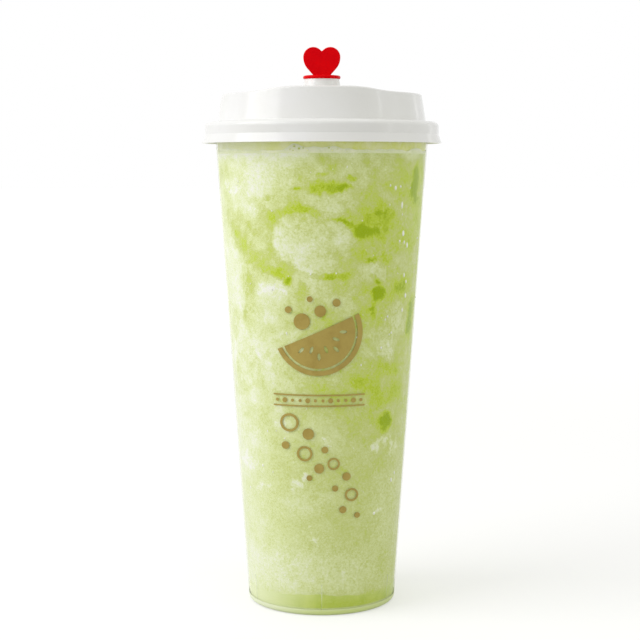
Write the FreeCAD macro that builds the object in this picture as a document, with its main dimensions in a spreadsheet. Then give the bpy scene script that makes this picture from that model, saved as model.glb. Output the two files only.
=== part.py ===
"""A honeydew smoothie in a tall frosted cup, under a sip lid that a heart-shaped plug closes.

The cup stands on the XY plane with its axis on +Z, and -Y is the front, where the plug is.
All sizes are millimetres. The sheet called Sizes holds the driving ones and, under them, the
places worked out from them; every sketch and feature is bound to that sheet. The lid is drawn
from the plane of the cup's rim and the plug from the top of the lid's collar, and the same
sheet places both.
"""
import FreeCAD
import Part
import Sketcher
import math
import os

SIZES = {
    # cup
    "cupHeight": 192.2,          # table to the top of the rim
    "baseRadius": 29.7,          # outer wall, where it would meet the table
    "mouthRadius": 42.73,        # outer wall, at the top of the rim
    "cupWall": 0.7,
    "footRecess": 1.2,           # hollow under the floor
    "floorThickness": 1.0,
    "footRingWidth": 3.0,
    "baseRounding": 1.8,         # outside, between wall and foot
    "floorRounding": 1.4,        # inside, between wall and floor
    "rimWidth": 2.27,            # how far the rim stands out from the wall
    "rimThickness": 1.1,
    "rimDrop": 2.8,              # height of the rim's turned-down edge
    "rimEdge": 0.8,
    "rimRounding": 0.4,
    "ribCount": 6.0,             # small upright ribs inside, just over the floor
    "ribWidth": 0.6,
    "ribDepth": 0.4,
    "ribHeight": 10.6,
    # drink
    "juiceDepth": 4.6,           # settled juice, over the floor
    "headSpace": 10.2,           # rim to the middle of the froth
    "frothDepth": 1.4,           # in the middle
    "frothClimb": 0.8,           # how far the froth stands up at the wall
    "frothClimbWidth": 5.0,
    # lid, from the plane of the rim
    "lidWall": 0.95,
    "rimClearance": 0.65,        # rim to the inside of the skirt
    "beadGrip": 0.3,             # how far the snap bead reaches under the rim
    "beadClearance": 0.1,        # rim's edge to the bead
    "beadHeight": 1.0,
    "flareGap": 0.1,             # bead to where the skirt starts to flare
    "flareHeight": 3.4,
    "lipFlare": 1.2,             # how far the lip stands out from the skirt
    "flangeRounding": 1.9,
    "crownInset": 0.53,          # cup's mouth to where the crown stands on the flange
    "crownSlope": 0.164,         # how far the crown leans in for each mm up
    "crownHeight": 11.85,        # at the sides and the back
    "frontRise": 1.65,           # how much higher the front is
    "frontFlat": 20.6,           # width of the front's level stretch
    "frontBend": 19.2,           # width of each S-bend from there to the sides
    "crownRounding": 0.8,
    "crownFootRounding": 0.6,
    "crownRingWidth": 3.3,       # ring left round the recess in the top
    "recessDepth": 4.2,
    "recessCorner": 2.5,         # where the recess meets the platform
    "platformMargin": 5.95,      # raised front round the collar's foot
    # collar on the lid, and the plug in it
    "collarInset": 1.59,         # crown's top edge to the collar's foot
    "boreRadius": 5.0,
    "collarWall": 1.55,          # round the bore, at the top
    "collarFlare": 0.5,          # how much wider the foot is
    "collarHeight": 2.7,
    "stemClearance": 0.08,
    "stemLength": 6.4,
    "stemTip": 1.2,              # height and width of the stem's chamfered tip
    "discOverhang": 0.55,        # disc's edge beyond the collar's top
    "discThickness": 1.3,
    "discRounding": 0.6,
    "heartWidth": 14.0,
    "heartFoot": 6.1,            # width where it meets the disc
    "heartShoulder": 6.9,        # disc to the height where it is widest
    "cleftRise": 2.05,           # from there to the cleft
    "flankRadius": 6.5,
    "heartThickness": 2.2,
    "cleftRounding": 0.4,
    "heartRounding": 0.45,
    # general
    "cutMargin": 1.0,            # room that a cut takes beyond what it cuts
    "filletShare": 0.46,         # most of a wall that a rounding may take
}

PLACES = {
    # cup: the wall is a cone, so its radius at a height follows from its lean
    "wallLean": "(mouthRadius - baseRadius) / cupHeight",
    "footInner": "baseRadius - footRingWidth",
    "floorTop": "footRecess + floorThickness",
    "floorInner": "baseRadius + wallLean * floorTop - cupWall",
    "mouthInner": "mouthRadius - cupWall",
    "rimRadius": "mouthRadius + rimWidth",
    "rimUnder": "cupHeight - rimThickness",
    "rimNeck": "baseRadius + wallLean * rimUnder",
    "rimInner": "rimRadius - rimEdge",
    "rimBottom": "cupHeight - rimDrop",
    "ribTop": "floorTop + ribHeight",
    "ribFootOuter": "floorInner + cupWall / 2",
    "ribTopOuter": "baseRadius + wallLean * ribTop - cupWall / 2",
    "ribFootInner": "floorInner - ribDepth",
    "ribTopInner": "baseRadius + wallLean * ribTop - cupWall - ribDepth",
    "ribFoot": "floorTop - floorThickness / 2",
    # drink: its side is the cup's inner wall
    "juiceTop": "floorTop + juiceDepth",
    "juiceEdge": "baseRadius + wallLean * juiceTop - cupWall",
    "frothMiddle": "cupHeight - headSpace",
    "frothBottom": "frothMiddle - frothDepth",
    "frothTop": "frothMiddle + frothClimb",
    "frothBottomEdge": "baseRadius + wallLean * frothBottom - cupWall",
    "frothTopEdge": "baseRadius + wallLean * frothTop - cupWall",
    "frothFlatEdge": "frothTopEdge - frothClimbWidth",
    # lid: the inside of its skirt clears the rim, and the outside follows by the wall
    "hollowSkirt": "rimRadius + rimClearance",
    "skirtRadius": "hollowSkirt + lidWall",
    "lipRadius": "skirtRadius + lipFlare",
    "hollowLip": "lipRadius - lidWall",
    "beadInner": "rimRadius - beadGrip",
    "beadTop": "-rimDrop - beadClearance",
    "beadMiddle": "beadTop - beadHeight / 2",
    "beadBottom": "beadTop - beadHeight",
    "flareTop": "beadBottom - flareGap",
    "lipBottom": "flareTop - flareHeight",
    "hollowBottom": "lipBottom - cutMargin",
    "frontTop": "crownHeight + frontRise",
    "blankTop": "frontTop + cutMargin",
    "crownRadius": "mouthInner - crownInset",
    "crownBlank": "crownRadius - crownSlope * (blankTop - lidWall)",
    "crownEdge": "crownRadius - crownSlope * (frontTop - lidWall)",
    "recessRadius": "crownEdge - crownRingWidth",
    "recessFloor": "crownHeight - recessDepth",
    "hollowCrownFoot": "crownRadius + crownSlope * lidWall - lidWall",
    "hollowCrownBlank": "crownBlank - lidWall",
    "hollowFrontTop": "frontTop - lidWall",
    "hollowSideTop": "crownHeight - lidWall",
    "hollowRecessRadius": "recessRadius + lidWall",
    "hollowRecessFloor": "recessFloor - lidWall",
    "hollowRecessCorner": "recessCorner + lidWall",
    "cutReach": "lipRadius + cutMargin",
    "cutLeft": "-cutReach",
    "cutTop": "blankTop + cutMargin",
    "flatRight": "frontFlat / 2",
    "flatLeft": "-flatRight",
    "frontRight": "flatRight + frontBend",
    "frontLeft": "-frontRight",
    # collar
    "collarTopRadius": "boreRadius + collarWall",
    "collarFootRadius": "collarTopRadius + collarFlare",
    "collarOffset": "crownEdge - collarInset - collarFootRadius",
    "platformCentre": "-collarOffset",
    "platformRadius": "collarFootRadius + platformMargin",
    "hollowPlatformRadius": "platformRadius - lidWall",
    "collarTop": "frontTop + collarHeight",
    "boreDepth": "collarHeight + lidWall + cutMargin",
    # plug
    "stemRadius": "boreRadius - stemClearance",
    "stemTipRadius": "stemRadius - stemTip",
    "stemBottom": "-stemLength",
    "stemShoulder": "stemTip - stemLength",
    "discRadius": "collarTopRadius + discOverhang",
    "heartHalf": "heartWidth / 2",
    "heartFootHalf": "heartFoot / 2",
    "shoulderHeight": "discThickness + heartShoulder",
    "lobeRadius": "(heartHalf ^ 2 + cleftRise ^ 2) / heartWidth",
    # roundings, none of them larger than its wall allows
    "baseRound": "min(baseRounding; footRingWidth * (1 - filletShare / 2))",
    "rimRound": "min(rimRounding; rimEdge * filletShare)",
    "flangeRound": "min(flangeRounding; lidWall + rimDrop)",
    "crownRound": "min(crownRounding; crownRingWidth * filletShare)",
    "discRound": "min(discRounding; discThickness * filletShare)",
    "heartRound": "min(heartRounding; heartThickness * filletShare)",
}

ZERO = "0"       # stands for a place on an axis
NEAR = 0.01      # how closely an edge has to match to be picked


def makeSheet(doc):
    """Driving sizes and worked-out places, one to a row, each under its own alias."""
    sheet = doc.addObject("Spreadsheet::Sheet", "Sizes")
    cells = {name: str(value) for name, value in SIZES.items()}
    cells.update({name: "=" + formula for name, formula in PLACES.items()})
    for row, (name, content) in enumerate(cells.items(), start=1):
        sheet.set(f"A{row}", name)
        sheet.set(f"B{row}", content)
        sheet.setAlias(f"B{row}", name)
    doc.recompute()


def size(doc, name):
    """The present value of one place or size."""
    return 0.0 if name == ZERO else float(doc.Sizes.get(name))


def bind(thing, prop, formula):
    """Tie a property to a formula of the sheet's aliases."""
    thing.setExpression(prop, formula)


def newBody(doc, label):
    """An empty body; its label names the part's file."""
    body = doc.addObject("PartDesign::Body", label.title().replace("_", ""))
    body.Label = label
    return body


def newSketch(body, name, plane, shift=None):
    """An empty sketch on one of the body's own planes, moved by the shifts bound to it."""
    sketch = body.newObject("Sketcher::SketchObject", name)
    support = next(f for f in body.Origin.OriginFeatures if f.Role == plane)
    sketch.AttachmentSupport = (support, [""])
    sketch.MapMode = "FlatFace"
    for axis, formula in (shift or {}).items():
        bind(sketch, f"AttachmentOffset.Base.{axis}", formula)
    return sketch


def pinCorner(sketch, line, end, place):
    """Hold one end of a line, or an arc's centre, at the sheet's (across, up) place."""
    for kind, name in zip(("DistanceX", "DistanceY"), place):
        here = size(sketch.Document, name)
        pin = sketch.addConstraint(Sketcher.Constraint(kind, -1, 1, line, end, here))
        if name != ZERO:
            bind(sketch, f"Constraints[{pin}]", f"Sizes.{name}")


def drawOutline(sketch, corners):
    """A closed outline of straight lines through corners named in the sheet."""
    doc = sketch.Document
    points = [FreeCAD.Vector(size(doc, across), size(doc, up), 0) for across, up in corners]
    count = len(points)
    for index in range(count):
        sketch.addGeometry(Part.LineSegment(points[index], points[(index + 1) % count]), False)
    for index in range(count):
        sketch.addConstraint(Sketcher.Constraint("Coincident", index, 2, (index + 1) % count, 1))
    for index, corner in enumerate(corners):
        pinCorner(sketch, index, 1, corner)


def revolve(body, name, sketch):
    """Turn a sketch in the XZ plane once round the body's Z axis."""
    turn = body.newObject("PartDesign::Revolution", name)
    turn.Profile = sketch
    turn.ReferenceAxis = (sketch, ["V_Axis"])
    turn.Angle = 360.0
    body.Document.recompute()


def edgeNames(feature, wanted):
    """Names of the feature's edges that the test picks."""
    return [f"Edge{number}" for number, edge in enumerate(feature.Shape.Edges, start=1) if wanted(edge)]


def circlesAt(feature, radius, height):
    """Names of the feature's circular edges of this radius at this height."""
    def isWanted(edge):
        curve = edge.Curve
        isCircle = isinstance(curve, Part.Circle)
        return isCircle and abs(curve.Radius - radius) < NEAR and abs(curve.Center.z - height) < NEAR

    return edgeNames(feature, isWanted)


def roundEdges(body, name, names, radius):
    """Fillet the named edges of the body's tip, by a radius named in the sheet."""
    base = body.Tip
    fillet = body.newObject("PartDesign::Fillet", name)
    fillet.Base = (base, names)
    bind(fillet, "Radius", f"Sizes.{radius}")
    body.Document.recompute()


def roundCorner(body, name, corner, radius):
    """Fillet the circle that an outline's corner makes when it is turned."""
    across, up = (size(body.Document, place) for place in corner)
    roundEdges(body, name, circlesAt(body.Tip, across, up), radius)


def standsUpright(face):
    """Whether a face is a cone or a cylinder about an upright axis."""
    surface = face.Surface
    isRound = isinstance(surface, (Part.Cone, Part.Cylinder))
    return isRound and abs(surface.Axis.z) > 1 - NEAR


def upperEdges(feature, lowest):
    """Names of the edges, none of them below a height, where upright faces end at the top."""
    uprights = [face for face in feature.Shape.Faces if standsUpright(face)]
    tops = [edge for face in uprights for edge in face.Edges if edge.BoundBox.ZMin > lowest]
    return edgeNames(feature, lambda edge: any(edge.isSame(top) for top in tops))


def cut(body, name, sketch, depth=None):
    """Cut upward by a depth worked out from the sheet, or through everything both ways."""
    before = body.Tip.Shape.Volume
    pocket = body.newObject("PartDesign::Pocket", name)
    pocket.Profile = sketch
    if depth:
        pocket.Reversed = True
        bind(pocket, "Length", depth)
    else:
        pocket.Type = "ThroughAll"
        pocket.SideType = "Symmetric"
    body.Document.recompute()
    if not pocket.Shape.Volume < before:
        raise RuntimeError(f"{body.Label}: {name} removes nothing")


def addRibs(body, kind):
    """Small upright ribs over the floor, one at the front: part of the cup, or cut from its filling."""
    sketch = newSketch(body, "RibSection", "YZ_Plane")
    drawOutline(sketch, [
        ("ribFootInner", "ribFoot"),
        ("ribFootOuter", "ribFoot"),
        ("ribTopOuter", "ribTop"),
        ("ribTopInner", "ribTop"),
    ])
    rib = body.newObject(kind, "Rib")
    rib.Profile = sketch
    rib.SideType = "Symmetric"
    bind(rib, "Length", "Sizes.ribWidth")
    body.Document.recompute()
    ring = body.newObject("PartDesign::PolarPattern", "RibRing")
    ring.Originals = [rib]
    ring.Axis = (sketch, ["V_Axis"])
    ring.Angle = 360.0
    bind(ring, "Occurrences", "Sizes.ribCount")
    body.Tip = ring
    body.Document.recompute()


def makeCup(doc):
    """Cup: a cone of even wall on a foot ring, with a rolled rim for the lid to snap over."""
    body = newBody(doc, "cup")
    sketch = newSketch(body, "Section", "XZ_Plane")
    drawOutline(sketch, [
        ("footInner", ZERO),
        ("baseRadius", ZERO),
        ("rimNeck", "rimUnder"),
        ("rimInner", "rimUnder"),
        ("rimInner", "rimBottom"),
        ("rimRadius", "rimBottom"),
        ("rimRadius", "cupHeight"),
        ("mouthInner", "cupHeight"),
        ("floorInner", "floorTop"),
        (ZERO, "floorTop"),
        (ZERO, "footRecess"),
        ("footInner", "footRecess"),
    ])
    revolve(body, "Wall", sketch)
    roundCorner(body, "BaseRounding", ("baseRadius", ZERO), "baseRound")
    roundCorner(body, "FloorRounding", ("floorInner", "floorTop"), "floorRounding")
    roundCorner(body, "RimRounding", ("rimRadius", "cupHeight"), "rimRound")
    addRibs(body, "PartDesign::Pad")
    return body


def makeJuice(doc):
    """Settled juice: the clear layer that fills the cup's floor, round the ribs."""
    body = newBody(doc, "settled_juice")
    sketch = newSketch(body, "Section", "XZ_Plane")
    drawOutline(sketch, [
        (ZERO, "floorTop"),
        ("floorInner", "floorTop"),
        ("juiceEdge", "juiceTop"),
        (ZERO, "juiceTop"),
    ])
    revolve(body, "Layer", sketch)
    roundCorner(body, "FloorRounding", ("floorInner", "floorTop"), "floorRounding")
    addRibs(body, "PartDesign::Pocket")
    return body


def makeSmoothie(doc):
    """Smoothie: the drink itself, from the settled juice up to the froth."""
    body = newBody(doc, "smoothie")
    sketch = newSketch(body, "Section", "XZ_Plane")
    drawOutline(sketch, [
        (ZERO, "juiceTop"),
        ("juiceEdge", "juiceTop"),
        ("frothBottomEdge", "frothBottom"),
        (ZERO, "frothBottom"),
    ])
    revolve(body, "Drink", sketch)
    addRibs(body, "PartDesign::Pocket")
    return body


def makeFroth(doc):
    """Froth: the pale foam on the drink, standing a little higher where it meets the wall."""
    body = newBody(doc, "froth")
    sketch = newSketch(body, "Section", "XZ_Plane")
    drawOutline(sketch, [
        (ZERO, "frothBottom"),
        ("frothBottomEdge", "frothBottom"),
        ("frothTopEdge", "frothTop"),
        ("frothFlatEdge", "frothMiddle"),
        (ZERO, "frothMiddle"),
    ])
    revolve(body, "Foam", sketch)
    return body


def join(sketch, first, firstEnd, second, secondEnd, kind="Coincident"):
    """Make two pieces of an outline meet, or meet smoothly when the kind is Tangent."""
    sketch.addConstraint(Sketcher.Constraint(kind, first, firstEnd, second, secondEnd))


def drawFrontCurve(sketch, side, front):
    """Everything above the lid's top line: level sides, and an S-bend up to the level front.

    Pieces run from left to right along the top line and back over it. An arc's ends are
    numbered anticlockwise, so the ends that meet differ from bend to bend.
    """
    doc = sketch.Document
    low, high = size(doc, side), size(doc, front)
    flat, wide = size(doc, "flatRight"), size(doc, "frontRight")
    reach, top = size(doc, "cutReach"), size(doc, "cutTop")
    run, rise = (wide - flat) / 2, (high - low) / 2
    bend = (run ** 2 + rise ** 2) / (2 * rise)
    lean = math.asin(run / bend) / 2
    dip = bend * (1 - math.cos(lean))
    step = bend * math.sin(lean)

    def at(across, up):
        return FreeCAD.Vector(across, up, 0)

    pieces = [
        Part.LineSegment(at(-reach, low), at(-wide, low)),
        Part.Arc(at(-wide, low), at(-wide + step, low + dip), at(-wide + run, low + rise)),
        Part.Arc(at(-flat, high), at(-flat - step, high - dip), at(-flat - run, high - rise)),
        Part.LineSegment(at(-flat, high), at(flat, high)),
        Part.Arc(at(flat + run, high - rise), at(flat + step, high - dip), at(flat, high)),
        Part.Arc(at(wide - run, low + rise), at(wide - step, low + dip), at(wide, low)),
        Part.LineSegment(at(wide, low), at(reach, low)),
        Part.LineSegment(at(reach, low), at(reach, top)),
        Part.LineSegment(at(reach, top), at(-reach, top)),
        Part.LineSegment(at(-reach, top), at(-reach, low)),
    ]
    for piece in pieces:
        sketch.addGeometry(piece, False)
    for first, firstEnd, second, secondEnd in (
            (0, 2, 1, 1), (1, 2, 2, 2), (2, 1, 3, 1), (3, 2, 4, 2), (4, 1, 5, 1), (5, 2, 6, 1)):
        join(sketch, first, firstEnd, second, secondEnd, "Tangent")
    for line in (6, 7, 8):
        join(sketch, line, 2, line + 1, 1)
    join(sketch, 9, 2, 0, 1)
    sketch.addConstraint(Sketcher.Constraint("Equal", 1, 2))
    sketch.addConstraint(Sketcher.Constraint("Equal", 4, 5))
    pinCorner(sketch, 0, 1, ("cutLeft", side))
    pinCorner(sketch, 0, 2, ("frontLeft", side))
    pinCorner(sketch, 3, 1, ("flatLeft", front))
    pinCorner(sketch, 3, 2, ("flatRight", front))
    pinCorner(sketch, 6, 1, ("frontRight", side))
    pinCorner(sketch, 7, 1, ("cutReach", side))
    pinCorner(sketch, 8, 1, ("cutReach", "cutTop"))
    pinCorner(sketch, 9, 1, ("cutLeft", "cutTop"))


def drawRecess(sketch, recess, platform):
    """The recess seen from above: a circle with the platform's circle bitten out of its front."""
    doc = sketch.Document
    big, small, offset = size(doc, recess), size(doc, platform), size(doc, "collarOffset")
    meetUp = -(big ** 2 + offset ** 2 - small ** 2) / (2 * offset)
    meetAcross = math.sqrt(big ** 2 - meetUp ** 2)
    right = FreeCAD.Vector(meetAcross, meetUp, 0)
    left = FreeCAD.Vector(-meetAcross, meetUp, 0)
    sketch.addGeometry(Part.Arc(right, FreeCAD.Vector(0, big, 0), left), False)
    sketch.addGeometry(Part.Arc(right, FreeCAD.Vector(0, small - offset, 0), left), False)
    join(sketch, 0, 1, 1, 1)
    join(sketch, 0, 2, 1, 2)
    join(sketch, 0, 3, -1, 1)
    pinCorner(sketch, 1, 3, (ZERO, "platformCentre"))
    for arc, name in ((0, recess), (1, platform)):
        pin = sketch.addConstraint(Sketcher.Constraint("Radius", arc, size(doc, name)))
        bind(sketch, f"Constraints[{pin}]", f"Sizes.{name}")


def shapeCrown(body, side, front, recess, floor, platform, corner):
    """Cut a plain blank down to the crown's top line, its level back and its recess."""
    curve = newSketch(body, "FrontCurve", "XZ_Plane")
    drawFrontCurve(curve, side, front)
    cut(body, "FrontCut", curve)
    back = newSketch(body, "BackLine", "YZ_Plane")
    drawOutline(back, [(ZERO, side), ("cutReach", side), ("cutReach", "cutTop"), (ZERO, "cutTop")])
    cut(body, "BackCut", back)
    plan = newSketch(body, "RecessPlan", "XY_Plane", {"z": f"Sizes.{floor}"})
    drawRecess(plan, recess, platform)
    cut(body, "Recess", plan, f"Sizes.cutTop - Sizes.{floor}")
    radius = size(body.Document, recess)
    corners = edgeNames(body.Tip, lambda edge: isRecessCorner(edge, radius))
    roundEdges(body, "RecessCorners", corners, corner)


def isRecessCorner(edge, radius):
    """Whether an edge is one of the two upright ones where recess and platform meet."""
    box = edge.BoundBox
    isUpright = isinstance(edge.Curve, Part.Line) and box.XLength + box.YLength < NEAR
    isInFront = box.Center.y < 0 and abs(box.Center.x) > NEAR
    isOnCircle = abs(math.hypot(box.Center.x, box.Center.y) - radius) < NEAR
    return isUpright and isInFront and isOnCircle


def makeShell(doc):
    """Outside of the lid: flared skirt, flange, leaning crown, recess and collar with its bore."""
    body = newBody(doc, "lid_outside")
    sketch = newSketch(body, "Section", "XZ_Plane")
    drawOutline(sketch, [
        (ZERO, "lipBottom"),
        ("lipRadius", "lipBottom"),
        ("skirtRadius", "flareTop"),
        ("skirtRadius", "lidWall"),
        ("crownRadius", "lidWall"),
        ("crownBlank", "blankTop"),
        (ZERO, "blankTop"),
    ])
    revolve(body, "Blank", sketch)
    shapeCrown(body, "crownHeight", "frontTop", "recessRadius", "recessFloor", "platformRadius",
               "recessCorner")
    lowest = size(doc, "crownHeight") - NEAR
    roundEdges(body, "CrownRounding", upperEdges(body.Tip, lowest), "crownRound")
    roundCorner(body, "FlangeRounding", ("skirtRadius", "lidWall"), "flangeRound")
    roundCorner(body, "CrownFootRounding", ("crownRadius", "lidWall"), "crownFootRounding")
    addCollar(body)
    return body


def addCollar(body):
    """The collar on the platform, and the bore through both for the plug's stem."""
    plane = next(f for f in body.Origin.OriginFeatures if f.Role == "XY_Plane")
    collar = body.newObject("PartDesign::AdditiveCone", "Collar")
    bind(collar, "Radius1", "Sizes.collarFootRadius")
    bind(collar, "Radius2", "Sizes.collarTopRadius")
    bind(collar, "Height", "Sizes.collarHeight")
    bore = body.newObject("PartDesign::SubtractiveCylinder", "Bore")
    bind(bore, "Radius", "Sizes.boreRadius")
    bind(bore, "Height", "Sizes.boreDepth")
    for feature, bottom in ((collar, "Sizes.frontTop"), (bore, "Sizes.collarTop - Sizes.boreDepth")):
        feature.AttachmentSupport = (plane, [""])
        feature.MapMode = "FlatFace"
        bind(feature, "AttachmentOffset.Base.y", "-Sizes.collarOffset")
        bind(feature, "AttachmentOffset.Base.z", bottom)
    body.Document.recompute()


def makeHollow(doc):
    """Inside of the lid: the same form, in by the wall, open below, with the snap bead left out."""
    body = newBody(doc, "lid_inside")
    sketch = newSketch(body, "Section", "XZ_Plane")
    drawOutline(sketch, [
        (ZERO, "hollowBottom"),
        ("hollowLip", "hollowBottom"),
        ("hollowLip", "lipBottom"),
        ("hollowSkirt", "flareTop"),
        ("hollowSkirt", "beadBottom"),
        ("beadInner", "beadMiddle"),
        ("hollowSkirt", "beadTop"),
        ("hollowSkirt", ZERO),
        ("hollowCrownFoot", ZERO),
        ("hollowCrownBlank", "blankTop"),
        (ZERO, "blankTop"),
    ])
    revolve(body, "Blank", sketch)
    shapeCrown(body, "hollowSideTop", "hollowFrontTop", "hollowRecessRadius", "hollowRecessFloor",
               "hollowPlatformRadius", "hollowRecessCorner")
    return body


def makeLid(doc):
    """Lid: the outside less the inside, resting with its flange on the cup's rim."""
    lid = doc.addObject("Part::Cut", "Lid")
    lid.Label = "lid"
    lid.Base = makeShell(doc)
    lid.Tool = makeHollow(doc)
    bind(lid, "Placement.Base.z", "Sizes.cupHeight")
    doc.recompute()
    return lid


def drawHeart(sketch):
    """A heart on its point: straight flanks, fuller shoulders and two lobes, all in one line.

    The left half mirrors the right one. Arcs run anticlockwise, from the right flank up over
    the two lobes and down the left.
    """
    doc = sketch.Document
    half, foot = size(doc, "heartWidth") / 2, size(doc, "heartFoot") / 2
    bottom, shoulder = size(doc, "discThickness"), size(doc, "shoulderHeight")
    flank, lobe = size(doc, "flankRadius"), size(doc, "lobeRadius")
    # where the line from the foot touches the flank's circle, as an angle below level
    across, up = half - flank - foot, shoulder - bottom
    touch = math.atan2(up, -across) - math.acos(flank / math.hypot(across, up))
    cleft = shoulder + math.sqrt(lobe ** 2 - (half - lobe) ** 2)
    crest = math.acos((lobe - half) / lobe) / 2

    def at(x, y):
        return FreeCAD.Vector(x, y, 0)

    def around(side, radius, angle):
        """A point on the flank's or lobe's circle, the angle counted up from level."""
        reach = half - radius + radius * math.cos(angle)
        return at(side * reach, shoulder + radius * math.sin(angle))

    ends = [around(side, flank, -touch) for side in (1, -1)]
    sketch.addGeometry(Part.LineSegment(at(foot, bottom), ends[0]), False)
    sketch.addGeometry(Part.Arc(ends[0], around(1, flank, -touch / 2), at(half, shoulder)), False)
    sketch.addGeometry(Part.Arc(at(half, shoulder), around(1, lobe, crest), at(0, cleft)), False)
    sketch.addGeometry(Part.Arc(at(0, cleft), around(-1, lobe, crest), at(-half, shoulder)), False)
    sketch.addGeometry(Part.Arc(at(-half, shoulder), around(-1, flank, -touch / 2), ends[1]), False)
    sketch.addGeometry(Part.LineSegment(ends[1], at(-foot, bottom)), False)
    sketch.addGeometry(Part.LineSegment(at(-foot, bottom), at(foot, bottom)), False)
    join(sketch, 0, 2, 1, 1, "Tangent")
    join(sketch, 1, 2, 2, 1, "Tangent")
    join(sketch, 2, 2, 3, 1)
    join(sketch, 3, 2, 4, 1)
    join(sketch, 4, 2, 5, 1)
    join(sketch, 5, 2, 6, 1)
    join(sketch, 6, 2, 0, 1)
    sketch.addConstraint(Sketcher.Constraint("PointOnObject", 2, 2, -2))
    for right, rightEnd, left, leftEnd in ((0, 1, 5, 2), (0, 2, 5, 1), (1, 2, 4, 1)):
        sketch.addConstraint(Sketcher.Constraint("Symmetric", right, rightEnd, left, leftEnd, -2))
    sketch.addConstraint(Sketcher.Constraint("Equal", 1, 4))
    sketch.addConstraint(Sketcher.Constraint("Equal", 2, 3))
    for arc, name in ((1, "flankRadius"), (2, "lobeRadius")):
        pin = sketch.addConstraint(Sketcher.Constraint("Radius", arc, size(doc, name)))
        bind(sketch, f"Constraints[{pin}]", f"Sizes.{name}")
    pinCorner(sketch, 0, 1, ("heartFootHalf", "discThickness"))
    pinCorner(sketch, 1, 2, ("heartHalf", "shoulderHeight"))
    pin = sketch.addConstraint(Sketcher.Constraint("DistanceY", -1, 1, 1, 3, shoulder))
    bind(sketch, f"Constraints[{pin}]", "Sizes.shoulderHeight")


def makePlug(doc):
    """Plug: a stem that fills the collar's bore, a disc that covers it, and an upright heart."""
    body = newBody(doc, "heart_plug")
    sketch = newSketch(body, "StemSection", "XZ_Plane")
    drawOutline(sketch, [
        (ZERO, "stemBottom"),
        ("stemTipRadius", "stemBottom"),
        ("stemRadius", "stemShoulder"),
        ("stemRadius", ZERO),
        ("discRadius", ZERO),
        ("discRadius", "discThickness"),
        (ZERO, "discThickness"),
    ])
    revolve(body, "StemAndDisc", sketch)
    roundCorner(body, "DiscUnderside", ("discRadius", ZERO), "discRound")
    roundCorner(body, "DiscTop", ("discRadius", "discThickness"), "discRound")
    outline = newSketch(body, "HeartOutline", "XZ_Plane")
    drawHeart(outline)
    heart = body.newObject("PartDesign::Pad", "Heart")
    heart.Profile = outline
    heart.SideType = "Symmetric"
    bind(heart, "Length", "Sizes.heartThickness")
    doc.recompute()
    roundHeart(body)
    bind(body, "Placement.Base.y", "-Sizes.collarOffset")
    bind(body, "Placement.Base.z", "Sizes.cupHeight + Sizes.collarTop")
    doc.recompute()
    return body


def roundHeart(body):
    """Round the cleft, then the whole outline of both the heart's faces."""
    doc = body.Document
    bottom, half = size(doc, "discThickness"), size(doc, "heartThickness") / 2

    def isCleft(edge):
        box = edge.BoundBox
        return box.ZMin > bottom and abs(box.Center.x) < NEAR and box.XLength + box.ZLength < NEAR

    def isOutline(edge):
        box = edge.BoundBox
        return box.YLength < NEAR and abs(abs(box.YMin) - half) < NEAR and box.ZMax > bottom + NEAR

    roundEdges(body, "CleftRounding", edgeNames(body.Tip, isCleft), "cleftRounding")
    roundEdges(body, "HeartRounding", edgeNames(body.Tip, isOutline), "heartRound")


def checkDocument(doc, nodes):
    """Stop if any object failed, or if a node isn't one good solid."""
    for thing in doc.Objects:
        faults = {"Invalid", "Error"} & set(thing.State)
        if faults:
            raise RuntimeError(f"{thing.Label} is {faults}")
    for node in nodes:
        shape = node.Shape
        if shape.isNull() or not shape.isValid() or len(shape.Solids) != 1:
            raise RuntimeError(f"{node.Label} isn't one good solid")


def main():
    doc = FreeCAD.newDocument("honeydew_smoothie")
    makeSheet(doc)
    nodes = [makeCup(doc), makeJuice(doc), makeSmoothie(doc), makeFroth(doc), makeLid(doc), makePlug(doc)]
    doc.recompute()
    checkDocument(doc, nodes)
    os.makedirs("parts", exist_ok=True)
    for node in nodes:
        node.Shape.exportStep(f"parts/{node.Label}.step")
        print(f"{node.Label}: {node.Shape.Volume / 1000:.2f} cm3")


main()
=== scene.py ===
# Honeydew smoothie in a frosted cup: drink, froth, bubbles, print and all the finishes
import bpy
import math
import random
from mathutils import Matrix, Vector


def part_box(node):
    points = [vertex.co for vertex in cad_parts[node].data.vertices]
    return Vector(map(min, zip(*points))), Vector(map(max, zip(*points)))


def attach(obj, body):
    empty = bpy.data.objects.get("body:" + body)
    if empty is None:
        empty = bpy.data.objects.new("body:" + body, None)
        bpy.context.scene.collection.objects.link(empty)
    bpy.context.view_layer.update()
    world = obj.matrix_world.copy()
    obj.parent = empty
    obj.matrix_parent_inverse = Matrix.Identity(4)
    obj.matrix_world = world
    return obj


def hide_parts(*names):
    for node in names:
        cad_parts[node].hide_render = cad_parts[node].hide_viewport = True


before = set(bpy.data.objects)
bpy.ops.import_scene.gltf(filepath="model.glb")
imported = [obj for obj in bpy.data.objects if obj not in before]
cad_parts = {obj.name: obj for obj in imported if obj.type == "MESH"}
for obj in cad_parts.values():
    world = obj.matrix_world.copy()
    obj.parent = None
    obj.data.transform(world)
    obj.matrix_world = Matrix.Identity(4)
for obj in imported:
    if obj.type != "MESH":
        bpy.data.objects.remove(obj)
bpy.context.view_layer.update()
mm = 0.001
print("frame loaded")


# lowest and highest corners of the six solids
juiceLow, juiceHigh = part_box("settled_juice")
drinkLow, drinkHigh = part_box("smoothie")
frothLow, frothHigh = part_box("froth")
cupLow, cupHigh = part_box("cup")
lidLow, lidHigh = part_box("lid")
plugLow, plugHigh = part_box("heart_plug")

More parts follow.
